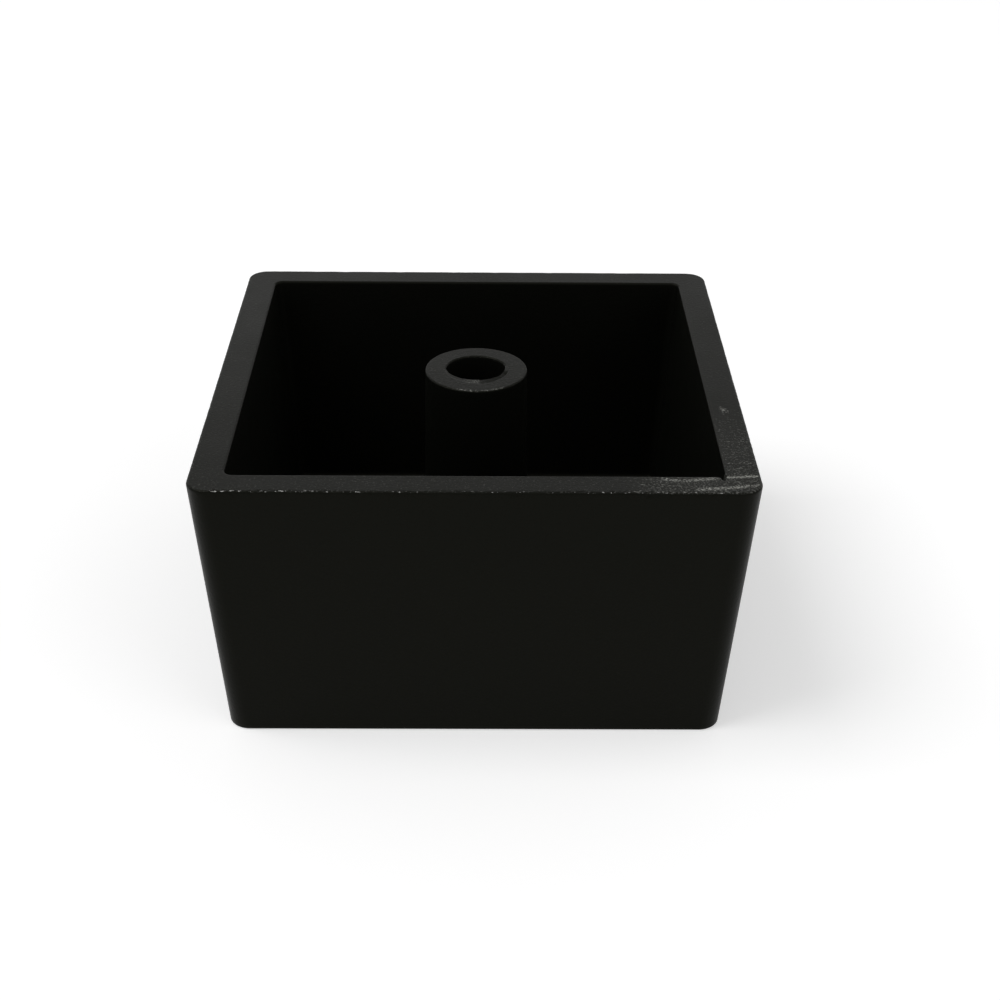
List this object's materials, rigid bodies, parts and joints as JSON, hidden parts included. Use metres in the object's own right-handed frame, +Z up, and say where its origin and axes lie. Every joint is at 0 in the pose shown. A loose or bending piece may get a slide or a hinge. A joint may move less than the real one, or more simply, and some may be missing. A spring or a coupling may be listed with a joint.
{
  "type": "furniture leg",
  "caption": "Low square plastic furniture leg that tapers to its foot, moulded in one piece, hollow and open at the top, with a central screw tube.",
  "frame": {"origin": "middle of the foot, on the surface that the leg stands on", "axes": "+Z up the leg to the open rim, +X and +Y square to its sides, with the camera of the picture on the -Y side"},
  "size_m": [0.06, 0.06, 0.032],
  "materials": {
    "black_plastic": "satin black with a fine mould texture, scuffed on the rim"
  },
  "bodies": {
    "root": {"leg": "black_plastic"}
  },
  "joints": []
}
